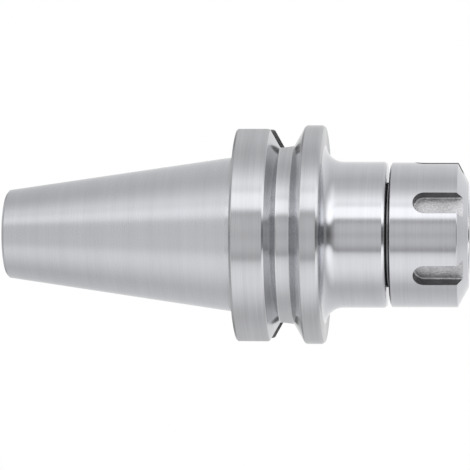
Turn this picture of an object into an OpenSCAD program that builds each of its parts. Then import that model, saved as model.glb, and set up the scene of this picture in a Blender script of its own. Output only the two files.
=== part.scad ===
// Collet chuck holder: a 7:24 steep taper shank, size 40, with a V-flange and
// a size 25 spring collet chuck. It stands on the front face of its nut, with
// the spindle axis along Z and the taper pointing up. Millimetres.

/* [Taper shank] */
// Diameter of the taper at the gauge plane
gauge_d = 44.45; // [44:0.05:48]
// Length of the taper behind the gauge plane
taper_len = 65.4; // [60:0.1:75]
// Chamfer at the small end of the taper
tail_chamfer = 0.7; // [0.2:0.1:1.5]

/* [Pull stud hole] */
// Diameter of the pilot bore at the small end
pilot_d = 17; // [15:0.1:18]
// Depth of the pilot bore
pilot_depth = 5; // [3:0.5:8]
// Minor diameter of the pull stud thread
stud_thread_d = 13.835; // [12:0.005:14.5]
// Length of the pull stud thread
stud_thread_len = 30; // [20:1:36]
// Diameter of the coolant hole through the middle
coolant_d = 8; // [4:0.5:12]

/* [Flange] */
// Diameter of the flange
flange_d = 63; // [60:0.5:70]
// Distance from the gauge plane to the back face of the flange
flange_back = 2; // [1:0.1:3]
// Distance from the gauge plane to the front face of the flange
flange_front = 27; // [25:0.1:29]
// Distance from the gauge plane to the middle of the V-groove
groove_mid = 16.6; // [15:0.1:17.5]
// Width of the V-groove at the flange diameter
groove_w = 10; // [9:0.1:11]
// Diameter at the bottom of the V-groove
groove_d = 52.4; // [51:0.1:56]
// Angle between the flanks of the V-groove
groove_angle = 60; // [40:1:60]
// Chamfer on the back edge of the flange
flange_back_chamfer = 0.7; // [0.1:0.05:1]
// Chamfer on the front edge of the flange
flange_front_chamfer = 0.75; // [0.1:0.05:1.5]
// Broken edge where the lands meet the groove
land_break = 0.35; // [0.05:0.05:0.5]

/* [Drive slots] */
// Width of each drive slot
drive_slot_w = 16.1; // [14:0.1:18]
// Distance from the axis to the floor of each drive slot
drive_slot_floor = 22.6; // [22.3:0.1:25]
// Distance from the gauge plane to the round end of each drive slot
drive_slot_end = 21.2; // [18:0.1:21.5]

/* [Nose] */
// Diameter of the nose
nose_d = 42; // [40:0.5:46]
// Distance from the gauge plane to the shoulder at the end of the nose
nose_reach = 44.9; // [40:0.1:120]
// Fillet between the nose and the flange
nose_fillet = 5.4; // [2:0.1:6]
// Chamfer at the end of the nose
nose_chamfer = 0.8; // [0.2:0.1:1.5]

/* [Nose thread] */
// Nominal diameter of the thread for the nut
nose_thread_d = 32; // [31:0.5:33]
// Pitch of that thread
nose_thread_pitch = 1.5; // [1:0.25:2]
// Diameter of the undercut behind the thread
undercut_d = 30; // [28:0.1:30]
// Length of the undercut
undercut_len = 3; // [2:0.1:4]
// Chamfer at the free end of the thread
thread_chamfer = 1; // [0.5:0.1:1.5]

/* [Collet] */
// Widest diameter of the collet
collet_d = 26; // [25:0.1:27]
// Length of the collet
collet_len = 34; // [31:0.5:38]
// Half angle of the long cone
collet_half_angle = 8; // [6:0.5:9]
// Distance from the front face of the collet to its widest diameter
collet_widest = 6.66; // [6.4:0.02:7.2]
// Length of the rim in front of the collet's groove
collet_rim_len = 3.1; // [2.8:0.1:3.4]
// Diameter of the rim
collet_rim_d = 25.4; // [25:0.1:26]
// Half angle of the short cone on the rim
collet_rim_half_angle = 30; // [25:1:35]
// Diameter at the bottom of the collet's groove
collet_groove_d = 22; // [21:0.1:22.5]
// Diameter of the bore for the tool shank
tool_bore_d = 12; // [3:0.5:14]
// Number of slits cut from each end
slits_each_end = 8; // [4:1:8]
// Width of a slit
slit_w = 0.7; // [0.4:0.05:1]
// Length left uncut at the end of a slit
slit_web = 5.5; // [4:0.5:8]
// Broken edge on the collet
collet_break = 0.4; // [0.1:0.05:0.5]

/* [Socket] */
// Distance from the mouth of the socket to the collet's widest diameter
mouth_gap = 0.54; // [0.2:0.02:1.5]
// Diameter of the chamber behind the socket
chamber_d = 18; // [14:0.5:18]
// Depth of the chamber
chamber_depth = 24; // [10:1:26]

/* [Clamping nut] */
// Diameter of the nut
nut_d = 41.6; // [41:0.1:46]
// Length of the nut
nut_len = 22.3; // [22:0.1:26]
// Diameter of the nut's front face
nut_face_d = 30.2; // [28:0.1:33]
// Angle of the front chamfer from the front face
nut_front_angle = 28; // [25:1:35]
// Length of the rear chamfer along the axis
nut_rear_chamfer_len = 0.5; // [0.3:0.1:1.5]
// Depth of the rear chamfer from the nut's diameter
nut_rear_chamfer_depth = 0.8; // [0.5:0.1:2]
// Diameter of the opening in the front face
nut_opening_d = 22; // [21.9:0.05:22.5]
// Distance between the nut and the shoulder of the nose
nut_gap = 1; // [0.3:0.1:2]
// Distance from the front face of the nut to the front face of the collet
collet_recess = 1; // [0.6:0.1:1.6]

/* [Nut slots] */
// Number of slots for the hook spanner
nut_slots = 6; // [4:1:8]
// Width of a slot
nut_slot_w = 6.3; // [4:0.1:8]
// Depth of a slot from the nut's diameter
nut_slot_depth = 3.35; // [2:0.05:3.6]
// Distance from the front face to the round end of a slot
nut_slot_len = 15.3; // [10:0.1:18]
// Angle about the axis of the first slot
nut_slot_start = -62.7; // [-180:0.1:180]

/* [Extractor ring in the nut] */
// Diameter of the eccentric ring that catches the collet's groove
ring_d = 24.7; // [24.5:0.05:24.9]
// Distance from the ring's centre to the axis
ring_offset = 0.85; // [0.7:0.05:0.95]
// Thickness of the ring
ring_t = 1.8; // [1.2:0.1:2]

/* [Fits] */
// Clearance between the cones of the collet and what they sit in
cone_clear = 0.05; // [0.02:0.01:0.1]
// Clearance of the thread on each side of its pitch diameter
thread_clear = 0.04; // [0.02:0.01:0.08]
// Axial play of the ring in the collet's groove
ring_play = 0.4; // [0.2:0.05:0.6]

/* [Hidden] */
$fn = 120;

steep_taper = 7 / 24;
drill_point = 59;
cut = 1;

// Stations along Z, from the nut's front face at zero
shoulder_z = nut_len + nut_gap;
gauge_z = shoulder_z + nose_reach;
tail_z = gauge_z + taper_len;
flange_back_z = gauge_z - flange_back;
flange_front_z = gauge_z - flange_front;
groove_z = gauge_z - groove_mid;
collet_front_z = collet_recess;
collet_rear_z = collet_front_z + collet_len;
collet_groove_z = collet_front_z + collet_rim_len;
widest_z = collet_front_z + collet_widest;
mouth_z = widest_z + mouth_gap;
ring_z = collet_groove_z + ring_play;
relief_z = ring_z + ring_t;
nut_thread_z = mouth_z + 1.4;

// Radii
gauge_r = gauge_d / 2;
flange_r = flange_d / 2;
groove_r = groove_d / 2;
nose_r = nose_d / 2;
nut_r = nut_d / 2;
collet_r = collet_d / 2;
rim_r = collet_rim_d / 2;
rim_face_r = rim_r - collet_rim_len * tan(collet_rim_half_angle);
opening_r = nut_opening_d / 2;
chamber_r = chamber_d / 2;
coolant_r = coolant_d / 2;
stud_r = stud_thread_d / 2;
pilot_r = pilot_d / 2;
bore_r = tool_bore_d / 2;
undercut_r = undercut_d / 2;
pitch_r = (nose_thread_d - 0.6495 * nose_thread_pitch) / 2;
nose_thread_r = pitch_r - thread_clear;
nut_thread_r = pitch_r + thread_clear;
nut_relief_r = nose_thread_d / 2 + 0.3;
nut_slot_floor = nut_r - nut_slot_depth;

mouth_chamfer = 0.4;
hole_chamfer = 0.6;

function taper_r(z) = gauge_r - (z - gauge_z) * steep_taper / 2;
function groove_half(r) = groove_w / 2 - (flange_r - r) * tan(groove_angle / 2);
function collet_cone_r(z) = collet_r - (z - widest_z) * tan(collet_half_angle);
function socket_r(z) = collet_cone_r(z) + cone_clear;
function seat_r(z) = rim_face_r + (z - collet_front_z) * tan(collet_rim_half_angle) + cone_clear;

chamber_z = widest_z + (collet_r + cone_clear - chamber_r) / tan(collet_half_angle);
chamber_end_z = chamber_z + chamber_depth;
pilot_z = tail_z - pilot_depth;
stud_end_z = pilot_z - stud_thread_len;
seat_z = collet_front_z + (opening_r - cone_clear - rim_face_r) / tan(collet_rim_half_angle);

// Half section of the holder: outside from the small end down to the mouth,
// then back up through the socket, the chamber and the pull stud hole
holder_outside = [
    [taper_r(tail_z) - tail_chamfer, tail_z],
    [taper_r(tail_z - tail_chamfer), tail_z - tail_chamfer],
    [gauge_r, gauge_z],
    [gauge_r, flange_back_z],
    [flange_r - flange_back_chamfer, flange_back_z],
    [flange_r, flange_back_z - flange_back_chamfer],
    [flange_r, groove_z + groove_half(flange_r) + land_break],
    [flange_r - land_break, groove_z + groove_half(flange_r - land_break)],
    [groove_r, groove_z + groove_half(groove_r)],
    [groove_r, groove_z - groove_half(groove_r)],
    [flange_r - land_break, groove_z - groove_half(flange_r - land_break)],
    [flange_r, groove_z - groove_half(flange_r) - land_break],
    [flange_r, flange_front_z + flange_front_chamfer],
    [flange_r - flange_front_chamfer, flange_front_z],
    [nose_r + nose_fillet, flange_front_z],
    [nose_r + nose_fillet, flange_front_z - nose_fillet],
    [nose_r, flange_front_z - nose_fillet],
    [nose_r, shoulder_z + nose_chamfer],
    [nose_r - nose_chamfer, shoulder_z],
    [undercut_r, shoulder_z],
    [undercut_r, shoulder_z - undercut_len],
    [nose_thread_r, shoulder_z - undercut_len - nose_thread_r + undercut_r],
    [nose_thread_r, mouth_z + thread_chamfer],
    [nose_thread_r - thread_chamfer, mouth_z]
];
holder_inside = [
    [socket_r(mouth_z) + mouth_chamfer, mouth_z],
    [socket_r(mouth_z + mouth_chamfer), mouth_z + mouth_chamfer],
    [chamber_r, chamber_z],
    [chamber_r, chamber_end_z],
    [coolant_r, chamber_end_z + (chamber_r - coolant_r) / tan(drill_point)],
    [coolant_r, stud_end_z - (stud_r - coolant_r) / tan(drill_point)],
    [stud_r, stud_end_z],
    [stud_r, pilot_z - hole_chamfer],
    [stud_r + hole_chamfer, pilot_z],
    [pilot_r, pilot_z],
    [pilot_r, tail_z - hole_chamfer],
    [pilot_r + hole_chamfer, tail_z]
];

collet_section = [
    [bore_r + collet_break, collet_front_z],
    [rim_face_r, collet_front_z],
    [rim_r, collet_groove_z],
    [collet_groove_d / 2, collet_groove_z],
    [collet_groove_d / 2, widest_z - collet_break],
    [collet_r - collet_break, widest_z - collet_break],
    [collet_r, widest_z],
    [collet_cone_r(collet_rear_z - collet_break), collet_rear_z - collet_break],
    [collet_cone_r(collet_rear_z) - collet_break, collet_rear_z],
    [bore_r + collet_break, collet_rear_z],
    [bore_r, collet_rear_z - collet_break],
    [bore_r, collet_front_z + collet_break]
];

nut_section = [
    [opening_r + mouth_chamfer, 0],
    [nut_face_d / 2, 0],
    [nut_r, (nut_r - nut_face_d / 2) * tan(nut_front_angle)],
    [nut_r, nut_len - nut_rear_chamfer_len],
    [nut_r - nut_rear_chamfer_depth, nut_len],
    [nut_thread_r + hole_chamfer, nut_len],
    [nut_thread_r, nut_len - hole_chamfer],
    [nut_thread_r, nut_thread_z + nut_relief_r - nut_thread_r],
    [nut_relief_r, nut_thread_z],
    [nut_relief_r, relief_z],
    [collet_groove_d / 2, relief_z],
    [collet_groove_d / 2, ring_z],
    [seat_r(ring_z), ring_z],
    [opening_r, seat_z],
    [opening_r, mouth_chamfer]
];

// One straight slit through the wall, in the half plane above the X axis
module slit(from_z, to_z) {
    translate([0, -slit_w / 2, from_z])
        cube([collet_d, slit_w, to_z - from_z]);
}

// Milled slot seen from outside: parallel sides, a round end at end_z and an
// open end at open_z, with its flat floor at floor_r from the axis
module milled_slot(w, floor_r, end_z, open_z) {
    way = sign(open_z - end_z);
    mid_z = end_z + way * w / 2;
    translate([floor_r, 0, 0]) {
        translate([0, 0, mid_z]) rotate([0, 90, 0])
            cylinder(d = w, h = flange_r);
        translate([0, -w / 2, min(mid_z, open_z)])
            cube([flange_r, w, abs(open_z - mid_z)]);
    }
}

module drive_slots() {
    for (side = [0, 180])
        rotate([0, 0, side])
            milled_slot(drive_slot_w, drive_slot_floor, gauge_z - drive_slot_end, flange_back_z + cut);
}

module holder_body() {
    color([0.72, 0.73, 0.75])
        difference() {
            rotate_extrude()
                difference() {
                    polygon(concat(holder_outside, holder_inside));
                    translate([nose_r + nose_fillet, flange_front_z - nose_fillet])
                        circle(r = nose_fillet);
                }
            drive_slots();
        }
}

module collet() {
    turn = 360 / slits_each_end;
    color([0.6, 0.61, 0.63])
        difference() {
            rotate_extrude() polygon(collet_section);
            for (i = [0 : slits_each_end - 1]) {
                rotate([0, 0, i * turn])
                    slit(collet_front_z - cut, collet_rear_z - slit_web);
                rotate([0, 0, (i + 0.5) * turn])
                    slit(collet_front_z + slit_web, collet_rear_z + cut);
            }
        }
}

module clamping_nut() {
    color([0.78, 0.79, 0.81])
        difference() {
            rotate_extrude() polygon(nut_section);
            translate([ring_offset, 0, ring_z])
                cylinder(d = ring_d, h = ring_t + cut);
            for (i = [0 : nut_slots - 1])
                rotate([0, 0, nut_slot_start + i * 360 / nut_slots])
                    milled_slot(nut_slot_w, nut_slot_floor, nut_slot_len, -cut);
        }
}

holder_body();
collet();
clamping_nut();
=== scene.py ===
import math

import bmesh
import bpy
from mathutils import Matrix, Vector


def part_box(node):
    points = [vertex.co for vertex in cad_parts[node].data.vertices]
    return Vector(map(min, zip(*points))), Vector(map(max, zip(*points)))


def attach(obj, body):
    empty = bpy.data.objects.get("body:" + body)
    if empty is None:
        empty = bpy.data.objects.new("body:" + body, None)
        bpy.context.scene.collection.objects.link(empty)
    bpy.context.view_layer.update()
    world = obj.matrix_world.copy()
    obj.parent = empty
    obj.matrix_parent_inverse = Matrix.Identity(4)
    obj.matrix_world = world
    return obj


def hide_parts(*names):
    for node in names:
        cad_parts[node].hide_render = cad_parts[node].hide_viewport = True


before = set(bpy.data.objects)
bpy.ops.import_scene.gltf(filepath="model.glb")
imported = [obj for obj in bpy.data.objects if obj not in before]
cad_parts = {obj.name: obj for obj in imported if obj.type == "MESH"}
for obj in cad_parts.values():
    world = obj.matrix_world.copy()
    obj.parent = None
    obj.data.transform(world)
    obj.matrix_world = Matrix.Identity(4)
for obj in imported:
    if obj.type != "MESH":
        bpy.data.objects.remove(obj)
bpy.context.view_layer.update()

print("frame loaded:", sorted(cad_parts))

mm = 0.001  # a piece is modelled in millimetres and made metres when it is finished
axis = Vector((0, 0, 1))
centre = Vector((0, 0, 0))

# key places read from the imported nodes
bodyLow, bodyHigh = [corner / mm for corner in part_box("holder_body")]
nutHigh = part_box("clamping_nut")[1] / mm
colletLow, colletHigh = [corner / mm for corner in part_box("collet")]

lathe = {
    "steps": 360,  # round the axis
    "sleeveSteps": 120,  # round a thread's sleeve
    "threadSteps": 96,  # for one turn of a thread
    "arcSteps": 12,
    "edge": 0.1,  # rounding on a turned edge
    "edgeSegments": 2,
    "roundFrom": 9,  # degrees: a corner that turns less than this isn't rounded
    "sharpFrom": 50,  # degrees: an edge that turns more than this stays sharp
}
mill = {
    "steps": 64,  # round a cutter
    "floorSegments": 3,
    "beyond": 1,  # how far a cutter reaches past the metal
}
# a 60 degree thread, in shares of its pitch
threadForm = {
    "depth": 0.5413,
    "ridge": [("root", 0), ("root", 4 / 16), ("crest", 9 / 16), ("crest", 11 / 16), ("root", 1)],
}
near = {
    "merge": 1e-4,  # corners closer than this become one
    "threadMerge": 0.005,
    "plane": 1e-5,
}


# tools that the pieces share

def tand(degrees):
    return math.tan(math.radians(degrees))


def onlyVerts(geometry):
    return [g for g in geometry if isinstance(g, bmesh.types.BMVert)]


def onlyFaces(geometry):
    return [g for g in geometry if isinstance(g, bmesh.types.BMFace)]


def closed(bm):
    bmesh.ops.remove_doubles(bm, verts=bm.verts, dist=near["merge"])
    bmesh.ops.recalc_face_normals(bm, faces=bm.faces)
    return bm


def arc(centreR, centreZ, radius, start, end):
    step = math.radians(end - start) / lathe["arcSteps"]
    angles = [math.radians(start) + i * step for i in range(lathe["arcSteps"] + 1)]
    return [(centreR + radius * math.cos(a), centreZ + radius * math.sin(a)) for a in angles]


def turned(section, edge=lathe["edge"], steps=lathe["steps"]):
    # spins a closed half section of (radius, height) corners
    bm = bmesh.new()
    corners = [bm.verts.new((r, 0, z)) for r, z in section]
    for a, b in zip(corners, corners[1:] + corners[:1]):
        bm.edges.new((a, b))
    if edge:
        rounded = [v for v in corners if v.calc_edge_angle(0) > math.radians(lathe["roundFrom"])]
        bmesh.ops.bevel(bm, geom=rounded, offset=edge, offset_type="OFFSET", affect="VERTICES",
                        segments=lathe["edgeSegments"], profile=0.5, material=-1,
                        clamp_overlap=True)
    bmesh.ops.spin(bm, geom=bm.verts[:] + bm.edges[:], cent=centre, axis=axis,
                   angle=math.tau, steps=steps, use_merge=True)
    return closed(bm)


def raised(bm, lid):
    # pulls a new lid out of the last one, which opens
    grown = bmesh.ops.extrude_face_region(bm, geom=lid)["geom"]
    if len(lid[0].edges[0].link_faces) > 2:
        bmesh.ops.delete(bm, geom=lid, context="FACES_ONLY")
    return onlyVerts(grown), onlyFaces(grown)


def onFloor(part):
    return max(v.co.z for v in part.verts) < near["merge"]


def millingCutter(width, floorR, surfaceR, closedZ, openZ, edge, floorRound):
    # a slot's space on the +X side: round at closedZ, open at openZ, flared at the surface;
    # its floor carries the first material and its walls the second
    halfStep = math.pi / mill["steps"]
    radius = width / 2
    way = math.copysign(1, openZ - closedZ)
    middleZ = closedZ + way * radius
    reach = abs(openZ - middleZ)
    bm = bmesh.new()
    bmesh.ops.create_circle(bm, cap_ends=True, segments=mill["steps"],
                            radius=radius / math.cos(halfStep))
    bmesh.ops.rotate(bm, cent=centre, verts=bm.verts, matrix=Matrix.Rotation(halfStep, 3, "Z"))
    openEnd = [v for v in bm.verts if v.co.x < 0]
    bmesh.ops.translate(bm, verts=openEnd, vec=(-reach, 0, 0))
    wall, top = raised(bm, bm.faces[:])
    for v in wall:
        v.co.z = math.sqrt(surfaceR ** 2 - v.co.y ** 2) - edge - floorR
    rim, top = raised(bm, top)
    bmesh.ops.translate(bm, verts=rim, vec=(0, 0, 2 * edge))
    grow = 1 + 2 * edge / radius
    bmesh.ops.scale(bm, vec=(grow, grow, 1), verts=[v for v in rim if v.co.x > 0])
    bmesh.ops.scale(bm, vec=(grow, grow, 1), verts=[v for v in rim if v.co.x < 0],
                    space=Matrix.Translation((reach, 0, 0)))
    lid, top = raised(bm, top)
    for v in lid:
        v.co.z = surfaceR - floorR + mill["beyond"]
    bmesh.ops.triangulate(bm, faces=[f for f in bm.faces if len(f.verts) == 4])
    for f in bm.faces:
        f.material_index = 0 if onFloor(f) else 1
    floorEdges = [e for e in bm.edges if onFloor(e)]
    bmesh.ops.bevel(bm, geom=floorEdges, offset=floorRound, offset_type="OFFSET", affect="EDGES",
                    segments=mill["floorSegments"], profile=0.5, material=0, clamp_overlap=True)
    # laid on its side: up in the sketch is outwards, its round end points along the axis
    lay = Matrix(((0, 0, 1), (0, way, 0), (-way, 0, 0)))
    bmesh.ops.transform(bm, matrix=lay.to_4x4(), verts=bm.verts)
    bmesh.ops.translate(bm, vec=(floorR, 0, middleZ), verts=bm.verts)
    return closed(bm)


def copiedRound(bm, count, firstAngle):
    # the first copy is the mesh itself, turned to its place
    bmesh.ops.rotate(bm, cent=centre, verts=bm.verts,
                     matrix=Matrix.Rotation(math.radians(firstAngle), 3, "Z"))
    first = bm.verts[:] + bm.edges[:] + bm.faces[:]
    for i in range(1, count):
        copy = bmesh.ops.duplicate(bm, geom=first)["geom"]
        bmesh.ops.rotate(bm, cent=centre, verts=onlyVerts(copy),
                         matrix=Matrix.Rotation(i * math.tau / count, 3, "Z"))
    return closed(bm)


def threadRod(majorR, pitch, lowZ, highZ, clear=0.0):
    # one pitch of the thread, wound right-handed; equal pitches are always in step
    crest = majorR + clear
    level = {"root": crest - threadForm["depth"] * pitch, "crest": crest}
    firstZ = (math.floor(lowZ / pitch) - 1) * pitch
    turns = math.ceil((highZ - firstZ) / pitch) + 1
    bm = bmesh.new()
    corners = [bm.verts.new((level[place], 0, firstZ + share * pitch))
               for place, share in threadForm["ridge"]]
    for a, b in zip(corners, corners[1:]):
        bm.edges.new((a, b))
    bmesh.ops.spin(bm, geom=bm.verts[:] + bm.edges[:], cent=centre, axis=axis,
                   dvec=(0, 0, pitch / lathe["threadSteps"]), angle=turns * math.tau,
                   steps=turns * lathe["threadSteps"], use_merge=False)
    bmesh.ops.remove_doubles(bm, verts=bm.verts, dist=near["threadMerge"])
    for z, way in ((lowZ, -1), (highZ, 1)):
        bmesh.ops.bisect_plane(bm, geom=bm.verts[:] + bm.edges[:] + bm.faces[:],
                               dist=near["plane"], plane_co=(0, 0, z), plane_no=(0, 0, way),
                               clear_outer=True)
    bmesh.ops.remove_doubles(bm, verts=bm.verts, dist=near["threadMerge"])
    bmesh.ops.holes_fill(bm, edges=[e for e in bm.edges if e.is_boundary])
    return closed(bm)


def placed(name, data):
    obj = bpy.data.objects.new(name, data)
    bpy.context.scene.collection.objects.link(obj)
    return obj


def madeObject(name, bm, *materials):
    data = bpy.data.meshes.new(name)
    bm.to_mesh(data)
    bm.free()
    for material in materials:
        data.materials.append(material)
    return placed(name, data)


def applied(obj, modifier):
    bpy.context.view_layer.objects.active = obj
    bpy.ops.object.modifier_apply(modifier=modifier.name)


def machined(obj, toolMesh, *materials, operation="DIFFERENCE"):
    # the tool's materials stay on the faces that it cuts
    tool = madeObject("tool", toolMesh, *materials)
    cut = obj.modifiers.new("cut", "BOOLEAN")
    cut.operation = operation
    cut.solver = "EXACT"
    cut.material_mode = "TRANSFER"
    cut.object = tool
    applied(obj, cut)
    bpy.data.objects.remove(tool)


def zoned(bm, materials, *zones):
    # a zone is the height where it begins, from the top down, and its material
    for f in bm.faces:
        z = f.calc_center_median().z
        f.material_index = materials.index([look for height, look in zones if z < height][-1])
    return bm


def finished(obj, body, slotName, *nodes):
    data = obj.data
    data.transform(Matrix.Scale(mm, 4))
    data.shade_smooth()
    data.set_sharp_from_angle(angle=math.radians(lathe["sharpFrom"]))
    even = obj.modifiers.new("evenShading", "WEIGHTED_NORMAL")
    even.keep_sharp = True
    applied(obj, even)
    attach(obj, body)
    if nodes:
        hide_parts(*nodes)
    print(obj.name, "finished:", len(data.polygons), "faces")
    return obj


# shared effects

texture = {
    "lineDetail": 3.0,
    "bandDetail": 2.0,
    "lineShare": 0.5,  # of the lines in the colour; the bands make up the rest
    "grainDetail": 3.0,
    "grainRoughness": 0.7,
    "grainShare": 0.7,  # of the grain in the colour; the patches make up the rest
    "patchDetail": 2.0,
    "patchGrains": 12,  # grains across a patch
    "toneRange": (0.35, 0.65),  # noise that gives the dark colour, and the light one
    "roughRange": (0.3, 0.7),  # noise that gives the least roughness, and the most
    "acrossMarks": 0.25,  # a quarter turn lays the streaks of light across the tool marks
}


def newGroup(name, inputs, outputs):
    group = bpy.data.node_groups.new(name, "ShaderNodeTree")
    for label, kind, value in inputs:
        socket = group.interface.new_socket(label, in_out="INPUT", socket_type=kind)
        if value is not None:
            socket.default_value = value
    for label, kind in outputs:
        group.interface.new_socket(label, in_out="OUTPUT", socket_type=kind)
    start = group.nodes.new("NodeGroupInput")
    end = group.nodes.new("NodeGroupOutput")
    return group, start.outputs, end.inputs


def addNode(tree, kind, inputs=(), **settings):
    # inputs are (socket, value or another node's output)
    node = tree.nodes.new(kind)
    for key, value in settings.items():
        setattr(node, key, value)
    for socket, value in inputs:
        if isinstance(value, bpy.types.NodeSocket):
            tree.links.new(value, node.inputs[socket])
        else:
            node.inputs[socket].default_value = value
    return node


def calc(tree, operation, *values, clamp=False):
    node = addNode(tree, "ShaderNodeMath", enumerate(values), operation=operation, use_clamp=clamp)
    return node.outputs[0]


def noise(tree, vector, scale, detail=2.0, roughness=0.5):
    node = addNode(tree, "ShaderNodeTexNoise", (("Vector", vector), ("Scale", scale),
                   ("Detail", detail), ("Roughness", roughness)))
    return node.outputs["Fac"]


def stretched(tree, value, low, high, toLow=0, toHigh=1):
    node = addNode(tree, "ShaderNodeMapRange", (
        ("Value", value), ("From Min", low), ("From Max", high),
        ("To Min", toLow), ("To Max", toHigh)))
    return node.outputs["Result"]


def weighed(tree, first, second, share):
    return calc(tree, "ADD", calc(tree, "MULTIPLY", first, share),
                calc(tree, "MULTIPLY", second, 1 - share))


def toolMarksGroup():
    # lines left by the tool or the grinding wheel, round the axis on any turned face
    group, given, result = newGroup(
        "toolMarks",
        [("Position", "NodeSocketVector", None), ("Lines per metre", "NodeSocketFloat", 5000.0),
         ("Bands per metre", "NodeSocketFloat", 500.0), ("Drift", "NodeSocketFloat", 30.0)],
        [("Lines", "NodeSocketFloat"), ("Bands", "NodeSocketFloat")])
    split = addNode(group, "ShaderNodeSeparateXYZ", ((0, given["Position"]),)).outputs
    radius = calc(group, "SQRT", calc(group, "ADD", calc(group, "MULTIPLY", split[0], split[0]),
                                      calc(group, "MULTIPLY", split[1], split[1])))
    across = calc(group, "ADD", split[2], radius)
    for label, rate, detail in (("Lines", given["Lines per metre"], texture["lineDetail"]),
                                ("Bands", given["Bands per metre"], texture["bandDetail"])):
        place = addNode(group, "ShaderNodeCombineXYZ", (
            (0, calc(group, "MULTIPLY", split[0], given["Drift"])),
            (1, calc(group, "MULTIPLY", split[1], given["Drift"])),
            (2, calc(group, "MULTIPLY", across, rate))))
        group.links.new(noise(group, place.outputs[0], 1.0, detail), result[label])
    return group


def blastGrainGroup():
    # fine pits of a blasted or scaled face
    group, given, result = newGroup(
        "blastGrain",
        [("Position", "NodeSocketVector", None), ("Grains per metre", "NodeSocketFloat", 3000.0)],
        [("Grain", "NodeSocketFloat"), ("Patches", "NodeSocketFloat")])
    rate = given["Grains per metre"]
    grain = noise(group, given["Position"], rate,
                  texture["grainDetail"], texture["grainRoughness"])
    patches = noise(group, given["Position"], calc(group, "DIVIDE", rate, texture["patchGrains"]),
                    texture["patchDetail"])
    group.links.new(grain, result["Grain"])
    group.links.new(patches, result["Patches"])
    return group


toolMarks = toolMarksGroup()
blastGrain = blastGrainGroup()


def clearedTree(owner):
    owner.use_nodes = True
    owner.node_tree.nodes.clear()
    return owner.node_tree


def blended(tree, factor, dark, light):
    node = addNode(tree, "ShaderNodeMix", (("Factor", factor),), data_type="RGBA")
    node.inputs["A"].default_value = (*dark, 1)
    node.inputs["B"].default_value = (*light, 1)
    return node.outputs["Result"]


def markedSteel(name, look, effect, settings, share):
    # colour, roughness and relief follow the two fields that the effect puts out
    material = bpy.data.materials.new(name)
    tree = clearedTree(material)
    shader = tree.nodes.new("ShaderNodeBsdfPrincipled")
    addNode(tree, "ShaderNodeOutputMaterial", ((0, shader.outputs[0]),))
    position = tree.nodes.new("ShaderNodeTexCoord").outputs["Object"]
    marks = addNode(tree, "ShaderNodeGroup", node_tree=effect)
    tree.links.new(position, marks.inputs["Position"])
    for label, key in settings:
        marks.inputs[label].default_value = look[key]
    fine, coarse = marks.outputs
    tone = stretched(tree, weighed(tree, fine, coarse, share), *texture["toneRange"])
    rough = stretched(tree, fine, *texture["roughRange"],
                      look["rough"] - look["roughSpread"], look["rough"] + look["roughSpread"])
    bump = addNode(tree, "ShaderNodeBump", (("Height", fine), ("Strength", look["bump"]),
                   ("Distance", look["bumpDepth"])))
    tree.links.new(blended(tree, tone, look["dark"], look["light"]), shader.inputs["Base Color"])
    tree.links.new(rough, shader.inputs["Roughness"])
    tree.links.new(bump.outputs[0], shader.inputs["Normal"])
    shader.inputs["Metallic"].default_value = 1
    return material, tree, shader


def turnedSteel(name, look):
    material, tree, shader = markedSteel(name, look, toolMarks, (
        ("Lines per metre", "lines"), ("Bands per metre", "bands"), ("Drift", "drift")),
        texture["lineShare"])
    glance = look["glance"]
    shader.inputs["Specular Tint"].default_value = (glance, glance, glance, 1)
    shader.inputs["Anisotropic"].default_value = look["anisotropic"]
    shader.inputs["Anisotropic Rotation"].default_value = texture["acrossMarks"]
    along = addNode(tree, "ShaderNodeTangent", direction_type="RADIAL", axis="Z")
    tree.links.new(along.outputs[0], shader.inputs["Tangent"])
    return material


def blastedSteel(name, look):
    settings = (("Grains per metre", "grains"),)
    return markedSteel(name, look, blastGrain, settings, texture["grainShare"])[0]


groundSteel = turnedSteel("groundSteel", {
    "dark": (0.60, 0.607, 0.636), "light": (0.65, 0.657, 0.688),
    "lines": 5000, "bands": 450, "drift": 30,
    "rough": 0.28, "roughSpread": 0.02, "anisotropic": 0.55, "glance": 1.0,
    "bump": 0.1, "bumpDepth": 0.00001,
})
flangeSteel = turnedSteel("flangeSteel", {
    "dark": (0.555, 0.56, 0.58), "light": (0.63, 0.635, 0.657),
    "lines": 4000, "bands": 500, "drift": 30,
    "rough": 0.24, "roughSpread": 0.02, "anisotropic": 0.88, "glance": 0.8,
    "bump": 0.1, "bumpDepth": 0.00001,
})
flankSteel = turnedSteel("flankSteel", {
    "dark": (0.60, 0.605, 0.624), "light": (0.68, 0.685, 0.708),
    "lines": 4000, "bands": 500, "drift": 30,
    "rough": 0.15, "roughSpread": 0.02, "anisotropic": 0.5, "glance": 1.0,
    "bump": 0.1, "bumpDepth": 0.00001,
})
turnedNutSteel = turnedSteel("turnedSteel", {
    "dark": (0.61, 0.616, 0.645), "light": (0.66, 0.666, 0.697),
    "lines": 3500, "bands": 350, "drift": 35,
    "rough": 0.18, "roughSpread": 0.02, "anisotropic": 0.65, "glance": 1.0,
    "bump": 0.08, "bumpDepth": 0.00001,
})
# darker than the turned steel, as painted shade on the threads, the spigot and the gap behind the
# nut
threadSteel = turnedSteel("threadSteel", {
    "dark": (0.30, 0.30, 0.31), "light": (0.42, 0.42, 0.43),
    "lines": 8000, "bands": 900, "drift": 60,
    "rough": 0.32, "roughSpread": 0.05, "anisotropic": 0.4, "glance": 1.0,
    "bump": 0.2, "bumpDepth": 0.00001,
})
# painted shade: near-black steel in the corner between the shoulder and the nut
cornerShadeSteel = turnedSteel("cornerShadeSteel", {
    "dark": (0.03, 0.03, 0.032), "light": (0.07, 0.07, 0.072),
    "lines": 8000, "bands": 900, "drift": 60,
    "rough": 0.5, "roughSpread": 0.05, "anisotropic": 0.2, "glance": 0.3,
    "bump": 0.2, "bumpDepth": 0.00001,
})
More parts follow.
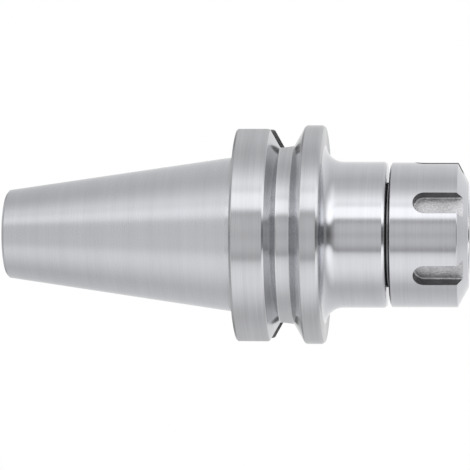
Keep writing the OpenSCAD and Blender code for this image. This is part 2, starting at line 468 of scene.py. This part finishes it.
colletSteel = turnedSteel("hardenedSteel", {
    "dark": (0.50, 0.505, 0.525), "light": (0.60, 0.605, 0.63),
    "lines": 6000, "bands": 500, "drift": 40,
    "rough": 0.22, "roughSpread": 0.03, "anisotropic": 0.6, "glance": 1.0,
    "bump": 0.12, "bumpDepth": 0.00001,
})
slotFloorSteel = blastedSteel("slotFloorSteel", {
    "dark": (0.40, 0.40, 0.413), "light": (0.74, 0.74, 0.763), "grains": 2000,
    "rough": 0.38, "roughSpread": 0.06, "bump": 0.7, "bumpDepth": 0.00012,
})
# painted shade: dark colour on the walls inside the slots
slotWallShadeSteel = blastedSteel("slotWallShadeSteel", {
    "dark": (0.15, 0.15, 0.155), "light": (0.25, 0.25, 0.255), "grains": 3200,
    "rough": 0.36, "roughSpread": 0.06, "bump": 0.4, "bumpDepth": 0.00004,
})
# painted shade: darker faces inside the collet's narrow slits
slitShadeSteel = blastedSteel("slitShadeSteel", {
    "dark": (0.25, 0.25, 0.26), "light": (0.36, 0.36, 0.37), "grains": 4500,
    "rough": 0.4, "roughSpread": 0.06, "bump": 0.4, "bumpDepth": 0.00003,
})
print("materials made")


# holder body: shank, flange, nose and spigot in one piece

shank = {
    "gaugeR": 44.45 / 2,
    "taperLength": 65.4,
    "taperRise": 7 / 48,  # radius for each mm
    "tailChamfer": 0.7,
}
flange = {
    "back": 2.0,  # faces and groove from the gauge plane
    "front": 27.0,
    "grooveMiddle": 16.6,
    "grooveWidth": 10.0,
    "grooveBottomR": 26.2,
    "flankAngle": 30,
    "bottomFillet": 0.5,
    "backChamfer": 0.7,
    "frontChamfer": 0.75,
    "frontChamferDepth": 0.52,
    "landBreak": 0.35,
}
driveSlot = {
    "count": 2,
    "first": 0,  # degrees
    "width": 16.1,
    "floorR": 22.6,
    "end": 21.2,  # from the gauge plane
    "edge": 0.45,
    "floorRound": 0.8,
}
nose = {
    "radius": 21.0,
    "reach": 44.9,  # gauge plane to shoulder
    "fillet": 5.4,
    "chamfer": 0.8,
    "chamferDepth": 0.56,
    "paintedShadeLength": 0.4,  # painted shade: a near-black band in the corner behind the nut
}
noseThread = {
    "majorR": 16.0,
    "pitch": 1.5,
    "innerR": 14.2,
    "undercutR": 15.0,
    "undercutLength": 3.0,
    "chamfer": 1.0,
    "chamferFromR": 15.473,  # the plain cylinder that stands in for the thread
    "spare": 0.5,  # metal over the crest before the thread is cut
}
studHole = {
    "pilotR": 8.5,
    "pilotDepth": 5.0,
    "threadMajorR": 8.0,
    "threadMinorR": 6.93,
    "threadPitch": 2.0,
    "threadLength": 30.0,
    "threadStart": 0.5,  # from the hole's end
    "threadFlare": 0.05,
    "sleeveR": 8.2,
    "coolantR": 4.0,
    "chamfer": 0.6,
    "drillPoint": 59,
}
socket = {
    "halfAngle": 8,
    "mouthR": 13.05,  # at the collet's widest place
    "widestFromFront": 6.66,
    "mouthChamfer": 0.4,
    "chamberR": 9.0,
    "chamberDepth": 24.0,
}
zoneInset = {
    "face": 0.1,  # a look begins this far inside its faces
    "grooveBottom": 0.2,
    "shoulder": 0.05,
}

tailZ = bodyHigh.z
mouthZ = bodyLow.z
flangeR = bodyHigh.x
gaugeZ = tailZ - shank["taperLength"]
flangeBackZ = gaugeZ - flange["back"]
flangeFrontZ = gaugeZ - flange["front"]
grooveZ = gaugeZ - flange["grooveMiddle"]
shoulderZ = gaugeZ - nose["reach"]
undercutZ = shoulderZ - noseThread["undercutLength"]
widestZ = colletLow.z + socket["widestFromFront"]
pilotZ = tailZ - studHole["pilotDepth"]
studEndZ = pilotZ - studHole["threadLength"]


def taperR(z):
    return shank["gaugeR"] - (z - gaugeZ) * shank["taperRise"]


def grooveHalf(r):
    return flange["grooveWidth"] / 2 - (flangeR - r) * tand(flange["flankAngle"])


def socketR(z):
    return socket["mouthR"] - (z - widestZ) * tand(socket["halfAngle"])


def shankOutline():
    chamfer = shank["tailChamfer"]
    return [
        (taperR(tailZ) - chamfer, tailZ),
        (taperR(tailZ - chamfer), tailZ - chamfer),
        (shank["gaugeR"], gaugeZ),
        (shank["gaugeR"], flangeBackZ),
    ]


def flangeOutline():
    back, front = flange["backChamfer"], flange["frontChamfer"]
    landR = flangeR - flange["landBreak"]
    bottomR, fillet = flange["grooveBottomR"], flange["bottomFillet"]
    filletR = bottomR + fillet
    filletHalf = grooveHalf(filletR) - fillet / math.cos(math.radians(flange["flankAngle"]))
    bottom = (arc(filletR, grooveZ + filletHalf, fillet, 90 + flange["flankAngle"], 180)
              + arc(filletR, grooveZ - filletHalf, fillet, 180, 270 - flange["flankAngle"]))
    return [
        (flangeR - back, flangeBackZ),
        (flangeR, flangeBackZ - back),
        (flangeR, grooveZ + grooveHalf(flangeR) + flange["landBreak"]),
        (landR, grooveZ + grooveHalf(landR)),
    ] + bottom + [
        (landR, grooveZ - grooveHalf(landR)),
        (flangeR, grooveZ - grooveHalf(flangeR) - flange["landBreak"]),
        (flangeR, flangeFrontZ + front),
        (flangeR - flange["frontChamferDepth"], flangeFrontZ),
    ]


def noseOutline():
    radius, chamfer = nose["radius"], nose["chamfer"]
    filletR, filletZ = radius + nose["fillet"], flangeFrontZ - nose["fillet"]
    fillet = arc(filletR, filletZ, nose["fillet"], 90, 180)
    return fillet + [
        (radius, shoulderZ + chamfer),
        (radius - nose["chamferDepth"], shoulderZ),
        (noseThread["undercutR"], shoulderZ),
        (noseThread["undercutR"], shoulderZ - nose["paintedShadeLength"]),
        (noseThread["undercutR"], undercutZ),
        (noseThread["innerR"], undercutZ),
        (noseThread["innerR"], mouthZ),
    ]


def innerOutline():
    chamberR, coolantR = socket["chamberR"], studHole["coolantR"]
    chamberZ = widestZ + (socket["mouthR"] - chamberR) / tand(socket["halfAngle"])
    chamberEndZ = chamberZ + socket["chamberDepth"]
    point = tand(studHole["drillPoint"])
    mouthChamfer, chamfer = socket["mouthChamfer"], studHole["chamfer"]
    return [
        (socketR(mouthZ) + mouthChamfer, mouthZ),
        (socketR(mouthZ + mouthChamfer), mouthZ + mouthChamfer),
        (chamberR, chamberZ),
        (chamberR, chamberEndZ),
        (coolantR, chamberEndZ + (chamberR - coolantR) / point),
        (coolantR, studEndZ - (studHole["threadMinorR"] - coolantR) / point),
        (studHole["threadMinorR"], studEndZ),
        (studHole["sleeveR"], studEndZ),
        (studHole["sleeveR"], pilotZ),
        (studHole["pilotR"], pilotZ),
        (studHole["pilotR"], tailZ - chamfer),
        (studHole["pilotR"] + chamfer, tailZ),
    ]


def makeHolderBody():
    section = shankOutline() + flangeOutline() + noseOutline() + innerOutline()
    inset = zoneInset["face"]
    mouthHalf = grooveHalf(flangeR) - inset
    bottomHalf = grooveHalf(flange["grooveBottomR"]) - zoneInset["grooveBottom"]
    cornerZ = shoulderZ - zoneInset["shoulder"]
    looks = [groundSteel, flangeSteel, flankSteel, turnedNutSteel, cornerShadeSteel, threadSteel]
    body = zoned(
        turned(section), looks,
        (math.inf, groundSteel),
        (gaugeZ - inset, flangeSteel),
        (grooveZ + mouthHalf, flankSteel),
        (grooveZ + bottomHalf, flangeSteel),
        (grooveZ - bottomHalf, flankSteel),
        (grooveZ - mouthHalf, flangeSteel),
        (flangeFrontZ - inset, turnedNutSteel),
        # a band of painted shade under the shoulder, then the darker thread steel
        (cornerZ, cornerShadeSteel),
        (cornerZ - nose["paintedShadeLength"], threadSteel))
    holder = madeObject("holderBody", body, *looks)
    cutter = millingCutter(driveSlot["width"], driveSlot["floorR"], flangeR,
                           gaugeZ - driveSlot["end"], flangeBackZ + mill["beyond"],
                           driveSlot["edge"], driveSlot["floorRound"])
    # the drive slots' walls take the painted shade of the dark wall steel
    machined(holder, copiedRound(cutter, driveSlot["count"], driveSlot["first"]),
             slotFloorSteel, slotWallShadeSteel)
    return finished(holder, "holder", "ground_steel", "holder_body")


def makeNoseThread():
    innerR, undercutR = noseThread["innerR"], noseThread["undercutR"]
    majorR, pitch, beyond = noseThread["majorR"], noseThread["pitch"], mill["beyond"]
    chamferedR = noseThread["chamferFromR"] - noseThread["chamfer"]
    outerR = majorR + noseThread["spare"]
    ring = turned([
        (innerR, mouthZ),
        (chamferedR, mouthZ),
        (outerR, mouthZ + outerR - chamferedR),
        (outerR, undercutZ - outerR + undercutR),
        (undercutR, undercutZ),
        (innerR, undercutZ),
    ], edge=0, steps=lathe["sleeveSteps"])
    thread = madeObject("noseThread", ring, threadSteel)
    rod = threadRod(majorR, pitch, mouthZ - beyond, undercutZ + beyond)
    machined(thread, rod, threadSteel, operation="INTERSECT")
    return finished(thread, "holder", "ground_steel")


def makeStudThread():
    majorR, minorR = studHole["threadMajorR"], studHole["threadMinorR"]
    sleeveR, chamferedR = studHole["sleeveR"], majorR + studHole["threadFlare"]
    sleeve = turned([
        (sleeveR, studEndZ),
        (sleeveR, pilotZ),
        (chamferedR, pilotZ),
        (minorR, pilotZ - chamferedR + minorR),
        (minorR, studEndZ),
    ], edge=0, steps=lathe["sleeveSteps"])
    thread = madeObject("studThread", sleeve, threadSteel)
    rod = threadRod(majorR, studHole["threadPitch"],
                    studEndZ + studHole["threadStart"], pilotZ + mill["beyond"])
    machined(thread, rod, threadSteel)
    return finished(thread, "holder", "ground_steel")


makeHolderBody()
makeNoseThread()
makeStudThread()
print("holder modelled")


# spring collet: cone, groove and rim, slit from both ends

springCollet = {
    "rimLength": 3.1,
    "rimR": 12.7,
    "rimAngle": 30,
    "grooveR": 11.0,
    "boreR": 6.0,
    "slits": 8,  # from each end
    "slitWidth": 0.7,
    "slitInnerR": 4.0,  # where a cutter begins, inside the bore
    "slitWeb": 5.5,  # metal left at the slit's closed end
    "edge": 0.4,
}
rimSlope = tand(springCollet["rimAngle"])
rimFaceR = springCollet["rimR"] - springCollet["rimLength"] * rimSlope


def colletOutline():
    front, rear = colletLow.z, colletHigh.z
    edge, boreR = springCollet["edge"], springCollet["boreR"]
    rimZ = front + springCollet["rimLength"]
    slope = tand(socket["halfAngle"])
    widestR = colletHigh.x
    rearR = widestR - (rear - widestZ) * slope
    return [
        (boreR + edge, front),
        (rimFaceR, front),
        (springCollet["rimR"], rimZ),
        (springCollet["grooveR"], rimZ),
        (springCollet["grooveR"], widestZ - edge),
        (widestR - edge, widestZ - edge),
        (widestR, widestZ),
        (rearR + edge * slope, rear - edge),
        (rearR - edge, rear),
        (boreR + edge, rear),
        (boreR, rear - edge),
        (boreR, front + edge),
    ]


def slitCutter(lowZ, highZ, firstAngle):
    innerR, outerR = springCollet["slitInnerR"], colletHigh.x + mill["beyond"]
    size = (outerR - innerR, springCollet["slitWidth"], highZ - lowZ)
    bm = bmesh.new()
    bmesh.ops.create_cube(bm, size=1)
    bmesh.ops.scale(bm, vec=size, verts=bm.verts)
    bmesh.ops.translate(bm, vec=((innerR + outerR) / 2, 0, (lowZ + highZ) / 2), verts=bm.verts)
    return copiedRound(bm, springCollet["slits"], firstAngle)


def makeSpringCollet():
    front, rear = colletLow.z, colletHigh.z
    web, beyond = springCollet["slitWeb"], mill["beyond"]
    halfStep = 180 / springCollet["slits"]
    collet = madeObject("springCollet", turned(colletOutline()), colletSteel)
    machined(collet, slitCutter(front - beyond, rear - web, 0), slitShadeSteel)
    machined(collet, slitCutter(front + web, rear + beyond, halfStep), slitShadeSteel)
    return finished(collet, "collet", "hardened_steel", "collet")


makeSpringCollet()
print("collet modelled")


# clamping nut: six spanner slots, the extractor ring and the thread inside

nut = {
    "faceR": 15.1,
    "frontAngle": 28,  # degrees from the front face
    "frontRound": 0.33,
    "rearChamferLength": 0.5,
    "rearChamferDepth": 0.8,
    "openingR": 11.0,
    "openingChamfer": 0.4,
    "reliefR": 16.3,
    "edge": 0.12,
}
nutSlot = {
    "count": 6,
    "width": 6.3,
    "depth": 3.35,
    "length": 15.3,
    "first": -62.7,  # degrees
    "edge": 0.12,
    "floorRound": 0.4,
}
extractorRing = {
    "radius": 12.35,
    "offset": 0.85,  # sideways, so that one side catches the collet's groove
    "thickness": 1.8,
    "play": 0.4,  # behind the collet's rim
    "seatClear": 0.05,
}
nutThread = {
    "start": 1.4,  # beyond the mouth of the socket
    "crestR": 15.3,
    "clear": 0.06,
    "chamfer": 1.0,
}
nutR = nutHigh.x
nutEndZ = nutHigh.z
nutThreadZ = mouthZ + nutThread["start"]
ringZ = colletLow.z + springCollet["rimLength"] + extractorRing["play"]
reliefZ = ringZ + extractorRing["thickness"]


def nutOutline():
    openingR, chamfer = nut["openingR"], nut["openingChamfer"]
    seatFaceR = rimFaceR + extractorRing["seatClear"]  # the cone that presses on the collet's rim
    lean, rounding = 90 - nut["frontAngle"], nut["frontRound"]
    cornerZ = (nutR - nut["faceR"]) * tand(nut["frontAngle"])
    return [
        (openingR + chamfer, 0),
        (nut["faceR"], 0),
    ] + arc(nutR - rounding, cornerZ + rounding * tand(lean / 2), rounding, -lean, 0) + [
        (nutR, nutEndZ - nut["rearChamferLength"]),
        (nutR - nut["rearChamferDepth"], nutEndZ),
        (nut["reliefR"], nutEndZ),
        (nut["reliefR"], reliefZ),
        (springCollet["grooveR"], reliefZ),
        (springCollet["grooveR"], ringZ),
        (seatFaceR + (ringZ - colletLow.z) * rimSlope, ringZ),
        (openingR, colletLow.z + (openingR - seatFaceR) / rimSlope),
        (openingR, chamfer),
    ]


def makeClampingNut():
    clampingNut = madeObject("clampingNut", turned(nutOutline(), nut["edge"]), turnedNutSteel)
    cutter = millingCutter(nutSlot["width"], nutR - nutSlot["depth"], nutR, nutSlot["length"],
                           -mill["beyond"], nutSlot["edge"], nutSlot["floorRound"])
    # the spanner slots' walls take the painted shade of the dark wall steel
    machined(clampingNut, copiedRound(cutter, nutSlot["count"], nutSlot["first"]),
             slotFloorSteel, slotWallShadeSteel)
    bore = bmesh.new()
    depth = extractorRing["thickness"] + mill["beyond"]
    bmesh.ops.create_cone(bore, cap_ends=True, segments=lathe["steps"], depth=depth,
                          radius1=extractorRing["radius"], radius2=extractorRing["radius"])
    bmesh.ops.translate(bore, vec=(extractorRing["offset"], 0, ringZ + depth / 2), verts=bore.verts)
    machined(clampingNut, closed(bore), turnedNutSteel)
    return finished(clampingNut, "nut", "turned_steel", "clamping_nut")


def makeNutThread():
    outerR, crestR, chamfer = nut["reliefR"], nutThread["crestR"], nutThread["chamfer"]
    sleeve = turned([
        (outerR, nutThreadZ),
        (outerR, nutEndZ),
        (crestR + chamfer, nutEndZ),
        (crestR, nutEndZ - chamfer),
        (crestR, nutThreadZ + outerR - crestR),
    ], edge=0, steps=lathe["sleeveSteps"])
    thread = madeObject("nutThread", sleeve, threadSteel)
    rod = threadRod(noseThread["majorR"], noseThread["pitch"],
                    nutThreadZ - mill["beyond"], nutEndZ + mill["beyond"], nutThread["clear"])
    machined(thread, rod, threadSteel)
    return finished(thread, "nut", "turned_steel")


makeClampingNut()
makeNutThread()
print("nut modelled")


# camera: a little below the nut's face, turned so that the taper points left

camera = {
    "place": (-0.00017, -0.8503, -0.0190),  # metres
    "round": 1.27,  # degrees about the spindle axis
    "lookUp": 5.8,  # degrees towards the taper
    "roll": 0.15,
    "lens": 226.64,
    "sensor": 36,
    "nearest": 0.01,  # metres
}


def makeCamera():
    data = bpy.data.cameras.new("camera")
    data.lens = camera["lens"]
    data.sensor_width = camera["sensor"]
    data.clip_start = camera["nearest"]
    cam = placed("camera", data)
    lookUp = math.radians(camera["lookUp"])
    c, s = math.cos(lookUp), math.sin(lookUp)
    right, up, back = Vector((0, s, -c)), Vector((1, 0, 0)), Vector((0, -c, -s))
    turn = Matrix((right, up, back)).transposed().to_4x4()
    roll = Matrix.Rotation(math.radians(camera["roll"]), 4, "Z")
    walk = Matrix.Rotation(math.radians(camera["round"]), 4, "Z")
    cam.matrix_world = walk @ Matrix.Translation(camera["place"]) @ turn @ roll
    bpy.context.scene.camera = cam


# studio: what the metal mirrors, as brightness by direction

studio = {
    # by degrees round the object, from the photographer's side towards +X
    "walls": [
        (-180, 0.96), (-150, 0.83), (-125, 0.76), (-96, 0.63), (-84, 0.67), (-70, 0.87),
        (-54, 1.06), (-39, 1.06), (-33, 0.98), (-28, 0.84), (-24.5, 0.36), (-20, 0.48),
        (-15, 0.63), (-8, 0.67), (1, 0.57), (8, 0.67), (17, 0.66), (22, 0.46), (26, 0.62),
        (28.5, 1.52), (43.5, 1.52), (48, 1.12), (57, 1.26), (68, 0.96), (80, 0.70),
        (97, 0.62), (120, 0.75), (150, 0.84), (180, 0.96),
    ],
    "above": [
        (-180, 0.60), (-145, 0.58), (-120, 0.64), (-96, 0.67), (-76, 0.82), (-54, 1.01),
        (-40, 1.07), (-24, 0.96), (0, 0.94), (23, 0.88), (30, 1.13), (42, 1.22), (48, 0.98),
        (57, 1.05), (72, 0.84), (90, 0.68), (120, 0.62), (145, 0.57), (180, 0.60),
    ],
    "behindBelow": [
        (-180, 0.68), (-171, 0.70), (-163, 0.92), (-120, 0.66), (-92, 0.52),
        (92, 0.52), (120, 0.66), (163, 0.92), (171, 0.70), (180, 0.68),
    ],
    # by the sideways part of the direction, times a factor that grows further down
    "frontBelow": [
        (-1.45, 0.85), (-1.25, 1.25), (-0.85, 1.42), (-0.62, 1.30), (-0.50, 1.0),
        (-0.44, 0.60), (-0.37, 0.13), (-0.26, 0.24), (-0.07, 0.14), (0, 0.12),
        (0.14, 0.16), (0.30, 0.17), (0.41, 0.22), (0.47, 0.55), (0.53, 1.0),
        (0.60, 1.42), (0.74, 1.70), (1.15, 1.62), (1.30, 1.30), (1.45, 0.85),
    ],
    "narrowing": (-0.45, -0.95, 1.0, 2.6),  # two heights, then the factor at each
    # factor on the brightness above, by height
    "ceiling": [(0.32, 1.16), (0.44, 0.74), (0.55, 0.66), (0.68, 0.84), (0.84, 0.84), (1, 0.50)],
    # parts of the direction where one gives way to the next
    "up": (0.12, 0.34),
    "high": (0.56, 0.72),  # the walls' bright panels show again over the soft part
    "down": (-0.30, -0.86),
    "behind": (-0.25, 0.20),
    "background": 1.0,
    "fill": 0.8,  # light on matt faces
}
lamp = {"size": 1.2, "height": 1.6, "watts": 14.0}
floor = {"size": 30.0, "colour": (0.80, 0.80, 0.80), "lift": 0.22}


def profile(tree, value, levels):
    # brightness along a value; a ramp holds up to 1, so it is multiplied back
    first, last = levels[0][0], levels[-1][0]
    ramp = addNode(tree, "ShaderNodeValToRGB", ((0, stretched(tree, value, first, last)),))
    top = max(level for at, level in levels)
    stops = ramp.color_ramp.elements
    while len(stops) < len(levels):
        stops.new(0.5)
    for stop, (at, level) in zip(stops, levels):
        stop.position = (at - first) / (last - first)
    for stop, (at, level) in zip(stops, levels):
        stop.color = (level / top, level / top, level / top, 1)
    return calc(tree, "MULTIPLY", ramp.outputs["Color"], top)


def between(tree, factor, low, high):
    # sockets 2 and 3 hold the mix node's two numbers
    return addNode(tree, "ShaderNodeMix", ((0, factor), (2, low), (3, high))).outputs[0]


def makeStudio():
    world = bpy.data.worlds.new("studio")
    bpy.context.scene.world = world
    tree = clearedTree(world)
    direction = tree.nodes.new("ShaderNodeTexCoord").outputs["Generated"]
    x, y, z = addNode(tree, "ShaderNodeSeparateXYZ", ((0, direction),)).outputs
    turn = calc(tree, "DEGREES", calc(tree, "ARCTAN2", x, calc(tree, "MULTIPLY", y, -1.0)))
    up, high, down = [stretched(tree, z, *studio[place]) for place in ("up", "high", "down")]
    behind = stretched(tree, y, *studio["behind"])
    aside = calc(tree, "MULTIPLY", x, stretched(tree, z, *studio["narrowing"]))
    below = between(tree, behind, profile(tree, aside, studio["frontBelow"]),
                    profile(tree, turn, studio["behindBelow"]))
    walls = profile(tree, turn, studio["walls"])
    soft = profile(tree, turn, studio["above"])
    above = calc(tree, "MULTIPLY", between(tree, high, soft, walls),
                 profile(tree, z, studio["ceiling"]))
    seen = between(tree, down, between(tree, up, walls, above), below)
    rays = tree.nodes.new("ShaderNodeLightPath").outputs
    mirrored = calc(tree, "ADD", rays["Is Glossy Ray"], rays["Is Transmission Ray"], clamp=True)
    lit = between(tree, mirrored, studio["fill"], seen)
    strength = between(tree, rays["Is Camera Ray"], lit, studio["background"])
    background = addNode(tree, "ShaderNodeBackground", (
        ("Color", (1, 1, 1, 1)), ("Strength", strength)))
    addNode(tree, "ShaderNodeOutputWorld", ((0, background.outputs[0]),))


def makeLamp():
    data = bpy.data.lights.new("softLamp", "AREA")
    data.size = lamp["size"]
    data.energy = lamp["watts"]
    light = placed("softLamp", data)
    light.location = (0, 0, lamp["height"])
    light.visible_glossy = False  # only softens the shadow on the floor


def makeFloor():
    material = bpy.data.materials.new("paleFloor")
    tree = clearedTree(material)
    rays = tree.nodes.new("ShaderNodeLightPath").outputs
    seen = calc(tree, "ADD", rays["Is Camera Ray"], rays["Is Transmission Ray"], clamp=True)
    lift = calc(tree, "MULTIPLY", seen, floor["lift"])
    matt = addNode(tree, "ShaderNodeBsdfDiffuse", (("Color", (*floor["colour"], 1)),))
    glow = addNode(tree, "ShaderNodeEmission", (("Strength", lift),))
    both = addNode(tree, "ShaderNodeAddShader", ((0, matt.outputs[0]), (1, glow.outputs[0])))
    clear = tree.nodes.new("ShaderNodeBsdfTransparent")
    below = tree.nodes.new("ShaderNodeNewGeometry").outputs["Backfacing"]
    # metal mirrors the studio's lower half
    away = calc(tree, "ADD", below, rays["Is Glossy Ray"], clamp=True)
    mixed = addNode(tree, "ShaderNodeMixShader", (
        (0, away), (1, both.outputs[0]), (2, clear.outputs[0])))
    addNode(tree, "ShaderNodeOutputMaterial", ((0, mixed.outputs[0]),))
    bm = bmesh.new()
    bmesh.ops.create_grid(bm, x_segments=1, y_segments=1, size=floor["size"] / 2)
    obj = madeObject("floor", bm, material)


makeCamera()
makeStudio()
makeLamp()
makeFloor()
bpy.context.scene.view_settings.view_transform = "Standard"
print("studio set")
